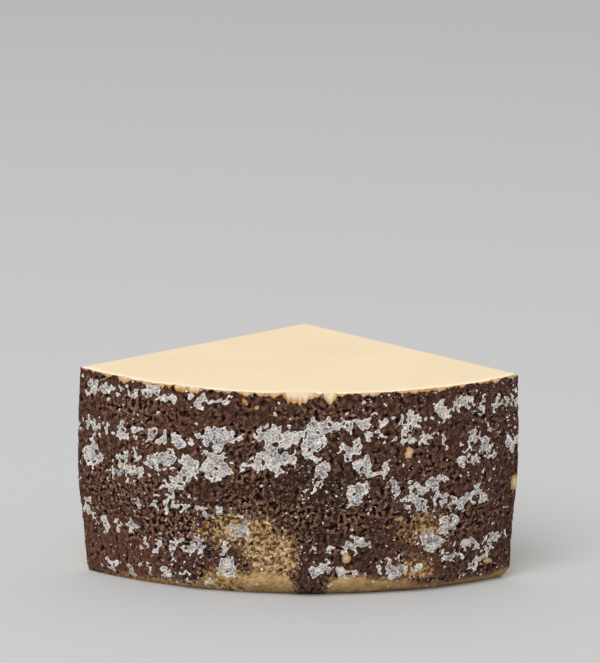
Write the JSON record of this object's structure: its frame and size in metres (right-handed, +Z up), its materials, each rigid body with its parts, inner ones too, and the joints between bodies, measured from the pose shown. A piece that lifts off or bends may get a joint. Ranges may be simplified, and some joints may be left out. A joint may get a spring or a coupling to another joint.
{
  "type": "pecorino romano block",
  "caption": "Sector-shaped block of a hard sheep's milk cheese wheel with smooth cut faces, small eyes and a dimpled, dark-coated rind on its curved side.",
  "frame": {"origin": "middle of the bounding box's base, on the flat base of the block", "axes": "+X to the right along the chord of the rind, +Y from the rind towards the point where the upright cuts meet, +Z up"},
  "size_m": [0.2191, 0.151, 0.1097],
  "materials": {
    "paste": "smooth, slightly oily cut paste, pale cream",
    "rind_coat": "matt, dimpled, very dark brown coat with a pale bloom and bare tan patches"
  },
  "bodies": {
    "root": {"cheese": "paste"}
  },
  "joints": []
}
